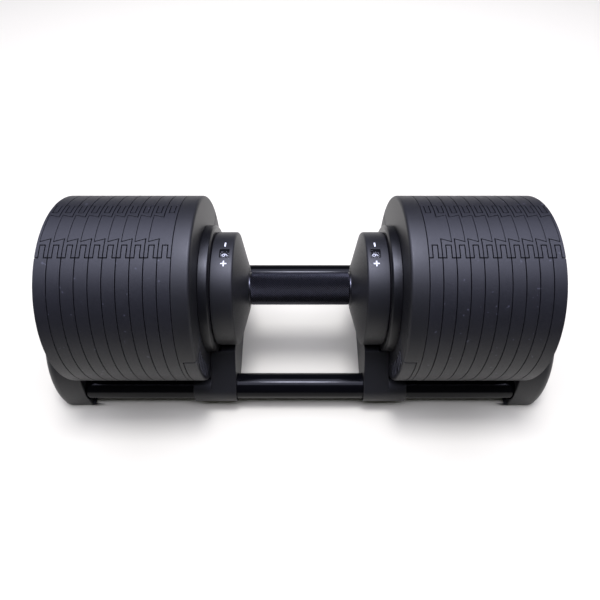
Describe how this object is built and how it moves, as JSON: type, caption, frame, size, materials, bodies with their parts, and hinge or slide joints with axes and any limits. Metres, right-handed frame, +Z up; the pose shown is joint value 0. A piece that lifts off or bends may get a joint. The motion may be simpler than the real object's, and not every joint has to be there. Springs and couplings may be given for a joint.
{
  "type": "adjustable dumbbell",
  "caption": "Adjustable dumbbell with dovetailed round steel plates, a turning grip that slides selector rods into them, and a storage tray of two tubes and plastic brackets.",
  "frame": {"origin": "on the floor below the middle of the grip", "axes": "+X along the handle to the right-hand stack, +Y to the back of the tray, +Z up"},
  "size_m": [0.4884, 0.176, 0.1804],
  "materials": {
    "coated_steel": "fine matt black powder coat on steel",
    "gloss_tube": "gloss black enamel on steel tube",
    "black_plastic": "moulded black nylon, satin",
    "grip_steel": "knurled steel, black oxide",
    "bare_steel": "turned and ground",
    "dial_plastic": "moulded black acetal",
    "clear_pane": "clear acrylic",
    "rubber": "soft, matt"
  },
  "bodies": {
    "tray": {"front_tube": "gloss_tube", "back_tube": "gloss_tube", "left_end_bracket": "black_plastic", "left_saddle": "black_plastic", "left_front_pad": "rubber", "left_back_pad": "rubber", "right_end_bracket": "black_plastic", "right_saddle": "black_plastic", "right_front_pad": "rubber", "right_back_pad": "rubber"},
    "handle": {"guide_tube": "bare_steel", "left_inner_disc": "black_plastic", "left_collar": "black_plastic", "left_cup": "black_plastic", "left_window": "clear_pane", "left_nose_bush": "dial_plastic", "left_lock_spring": "bare_steel", "right_inner_disc": "black_plastic", "right_collar": "black_plastic", "right_cup": "black_plastic", "right_window": "clear_pane", "right_nose_bush": "dial_plastic", "right_lock_spring": "bare_steel", "plate_left_01": "coated_steel", "plate_right_01": "coated_steel"},
    "grip": {"grip_sleeve": "grip_steel", "cam_sleeve": "bare_steel", "left_dial": "dial_plastic", "right_dial": "dial_plastic"},
    "left_selector": {"left_selector_tube": "bare_steel", "left_follower": "bare_steel"},
    "right_selector": {"right_selector_bar": "bare_steel", "right_follower": "bare_steel"},
    "left_lock": {"left_lock_pin": "bare_steel"},
    "right_lock": {"right_lock_pin": "bare_steel"},
    "plate_left_02": {"plate_left_02": "coated_steel"},
    "plate_right_02": {"plate_right_02": "coated_steel"},
    "plate_left_03": {"plate_left_03": "coated_steel"},
    "plate_right_03": {"plate_right_03": "coated_steel"},
    "plate_left_04": {"plate_left_04": "coated_steel"},
    "plate_right_04": {"plate_right_04": "coated_steel"},
    "plate_left_05": {"plate_left_05": "coated_steel"},
    "plate_right_05": {"plate_right_05": "coated_steel"},
    "plate_left_06": {"plate_left_06": "coated_steel"},
    "plate_right_06": {"plate_right_06": "coated_steel"},
    "plate_left_07": {"plate_left_07": "coated_steel"},
    "plate_right_07": {"plate_right_07": "coated_steel"},
    "plate_left_08": {"plate_left_08": "coated_steel"},
    "plate_right_08": {"plate_right_08": "coated_steel"},
    "plate_left_09": {"plate_left_09": "coated_steel"},
    "plate_right_09": {"plate_right_09": "coated_steel"},
    "plate_left_10": {"plate_left_10": "coated_steel"},
    "plate_right_10": {"plate_right_10": "coated_steel"}
  },
  "joints": [
    {"name": "handle_lift", "type": "slide", "parent": "tray", "child": "handle", "axis": [0, 0, 1], "range_m": [0, 0.2]},
    {"name": "handle_turn", "type": "hinge", "parent": "handle", "child": "grip", "pos_m": [0, 0, 0.0924], "axis": [1, 0, 0], "range_deg": [0, 324]},
    {"name": "left_selector_slide", "type": "slide", "parent": "handle", "child": "left_selector", "axis": [-1, 0, 0], "range_m": [0, 0.09792]},
    {"name": "right_selector_slide", "type": "slide", "parent": "handle", "child": "right_selector", "axis": [1, 0, 0], "range_m": [0, 0.09792]},
    {"name": "left_lock_slide", "type": "slide", "parent": "handle", "child": "left_lock", "axis": [0, 0, -1], "range_m": [0, 0.003], "deforming": ["left_lock_spring"]},
    {"name": "right_lock_slide", "type": "slide", "parent": "handle", "child": "right_lock", "axis": [0, 0, -1], "range_m": [0, 0.003], "deforming": ["right_lock_spring"]},
    {"name": "plate_left_02_lift", "type": "slide", "parent": "tray", "child": "plate_left_02", "axis": [0, 0, 1], "range_m": [0, 0.2]},
    {"name": "plate_right_02_lift", "type": "slide", "parent": "tray", "child": "plate_right_02", "axis": [0, 0, 1], "range_m": [0, 0.2]},
    {"name": "plate_left_03_lift", "type": "slide", "parent": "tray", "child": "plate_left_03", "axis": [0, 0, 1], "range_m": [0, 0.2]},
    {"name": "plate_right_03_lift", "type": "slide", "parent": "tray", "child": "plate_right_03", "axis": [0, 0, 1], "range_m": [0, 0.2]},
    {"name": "plate_left_04_lift", "type": "slide", "parent": "tray", "child": "plate_left_04", "axis": [0, 0, 1], "range_m": [0, 0.2]},
    {"name": "plate_right_04_lift", "type": "slide", "parent": "tray", "child": "plate_right_04", "axis": [0, 0, 1], "range_m": [0, 0.2]},
    {"name": "plate_left_05_lift", "type": "slide", "parent": "tray", "child": "plate_left_05", "axis": [0, 0, 1], "range_m": [0, 0.2]},
    {"name": "plate_right_05_lift", "type": "slide", "parent": "tray", "child": "plate_right_05", "axis": [0, 0, 1], "range_m": [0, 0.2]},
    {"name": "plate_left_06_lift", "type": "slide", "parent": "tray", "child": "plate_left_06", "axis": [0, 0, 1], "range_m": [0, 0.2]},
    {"name": "plate_right_06_lift", "type": "slide", "parent": "tray", "child": "plate_right_06", "axis": [0, 0, 1], "range_m": [0, 0.2]},
    {"name": "plate_left_07_lift", "type": "slide", "parent": "tray", "child": "plate_left_07", "axis": [0, 0, 1], "range_m": [0, 0.2]},
    {"name": "plate_right_07_lift", "type": "slide", "parent": "tray", "child": "plate_right_07", "axis": [0, 0, 1], "range_m": [0, 0.2]},
    {"name": "plate_left_08_lift", "type": "slide", "parent": "tray", "child": "plate_left_08", "axis": [0, 0, 1], "range_m": [0, 0.2]},
    {"name": "plate_right_08_lift", "type": "slide", "parent": "tray", "child": "plate_right_08", "axis": [0, 0, 1], "range_m": [0, 0.2]},
    {"name": "plate_left_09_lift", "type": "slide", "parent": "tray", "child": "plate_left_09", "axis": [0, 0, 1], "range_m": [0, 0.2]},
    {"name": "plate_right_09_lift", "type": "slide", "parent": "tray", "child": "plate_right_09", "axis": [0, 0, 1], "range_m": [0, 0.2]},
    {"name": "plate_left_10_lift", "type": "slide", "parent": "tray", "child": "plate_left_10", "axis": [0, 0, 1], "range_m": [0, 0.2]},
    {"name": "plate_right_10_lift", "type": "slide", "parent": "tray", "child": "plate_right_10", "axis": [0, 0, 1], "range_m": [0, 0.2]}
  ],
  "couplings": [
    {"joint": "left_selector_slide", "follows": "handle_turn", "m_per_rad": 0.017316},
    {"joint": "right_selector_slide", "follows": "handle_turn", "m_per_rad": 0.017316},
    {"joint": "left_lock_slide", "follows": "handle_lift", "ratio": 0.015},
    {"joint": "right_lock_slide", "follows": "handle_lift", "ratio": 0.015},
    {"joint": "plate_right_02_lift", "follows": "plate_left_02_lift", "ratio": 1},
    {"joint": "plate_right_03_lift", "follows": "plate_left_03_lift", "ratio": 1},
    {"joint": "plate_right_04_lift", "follows": "plate_left_04_lift", "ratio": 1},
    {"joint": "plate_right_05_lift", "follows": "plate_left_05_lift", "ratio": 1},
    {"joint": "plate_right_06_lift", "follows": "plate_left_06_lift", "ratio": 1},
    {"joint": "plate_right_07_lift", "follows": "plate_left_07_lift", "ratio": 1},
    {"joint": "plate_right_08_lift", "follows": "plate_left_08_lift", "ratio": 1},
    {"joint": "plate_right_09_lift", "follows": "plate_left_09_lift", "ratio": 1},
    {"joint": "plate_right_10_lift", "follows": "plate_left_10_lift", "ratio": 1}
  ]
}
